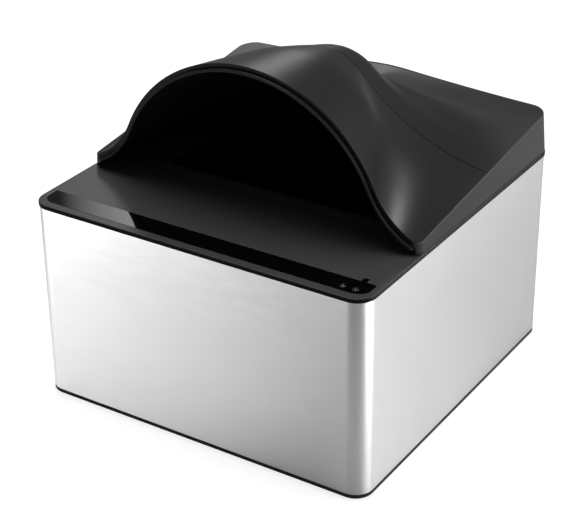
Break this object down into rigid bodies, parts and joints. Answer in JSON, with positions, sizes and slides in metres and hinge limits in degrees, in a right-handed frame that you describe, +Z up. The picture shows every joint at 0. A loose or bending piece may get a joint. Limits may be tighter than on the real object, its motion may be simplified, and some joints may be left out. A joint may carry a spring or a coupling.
{
  "type": "travel document scanner",
  "caption": "Square desk scanner for travel documents: a glass in a flat deck under an arched light hood, open at the front and hinged along the rear.",
  "frame": {"origin": "middle of the case's footprint, level with the soles of its feet", "axes": "+X to the right seen from the front, +Y from the front to the hinged rear edge, +Z up"},
  "size_m": [0.191, 0.1922, 0.1833],
  "materials": {
    "silver_band": "satin, fine grain",
    "black_case": "fine moulded grain",
    "deck_grey": "fine moulded grain",
    "hood_grey": "fine moulded grain",
    "liner_black": "dull",
    "gloss_black": "polished",
    "light_clear": "clear pipe",
    "document_glass": "polished, coated",
    "lens_glass": "polished, coated",
    "rubber": "dull",
    "opal": "opal",
    "lamp": "clear resin",
    "board_green": "solder mask",
    "chip_black": "moulded",
    "connector_white": "moulded",
    "anodised_black": "anodised",
    "hinge_black": "satin",
    "steel": "bright"
  },
  "bodies": {
    "base": {"case_band": "silver_band", "bottom_tray": "black_case", "top_frame": "black_case", "rear_panel": "black_case", "deck_plate": "deck_grey", "glass_bezel": "deck_grey", "optical_housing": "liner_black", "status_strip": "gloss_black", "light_pipes": "light_clear", "document_glass": "document_glass", "lens_elements": "lens_glass", "rubber_feet": "rubber", "glass_gasket": "rubber", "light_diffuser_left": "opal", "light_diffuser_right": "opal", "light_leds": "lamp", "indicator_leds": "lamp", "main_board": "board_green", "camera_board": "board_green", "indicator_board": "board_green", "light_board_left": "board_green", "light_board_right": "board_green", "board_chips": "chip_black", "image_sensor": "chip_black", "lens_holder": "chip_black", "dc_socket": "chip_black", "board_connectors": "connector_white", "camera_cable": "connector_white", "light_ribbons": "connector_white", "lens_barrel": "anodised_black", "hinge_bracket_left": "hinge_black", "hinge_bracket_right": "hinge_black", "usb_socket": "steel", "case_screws": "steel", "deck_screws": "steel", "housing_screws": "steel", "board_screws": "steel", "bracket_screws": "steel"},
    "hood": {"hood_frame": "hood_grey", "hood_front_skin": "hood_grey", "hood_rear_skin": "hood_grey", "hood_liner": "liner_black", "hood_bumpers": "rubber", "hood_hinge_left": "hinge_black", "hood_hinge_right": "hinge_black", "hinge_pins": "steel", "hood_screws": "steel"}
  },
  "joints": [
    {"name": "hood_hinge", "type": "hinge", "parent": "base", "child": "hood", "pos_m": [0, 0.0936, 0.1128], "axis": [-1, 0, 0], "range_deg": [0, 80]}
  ]
}
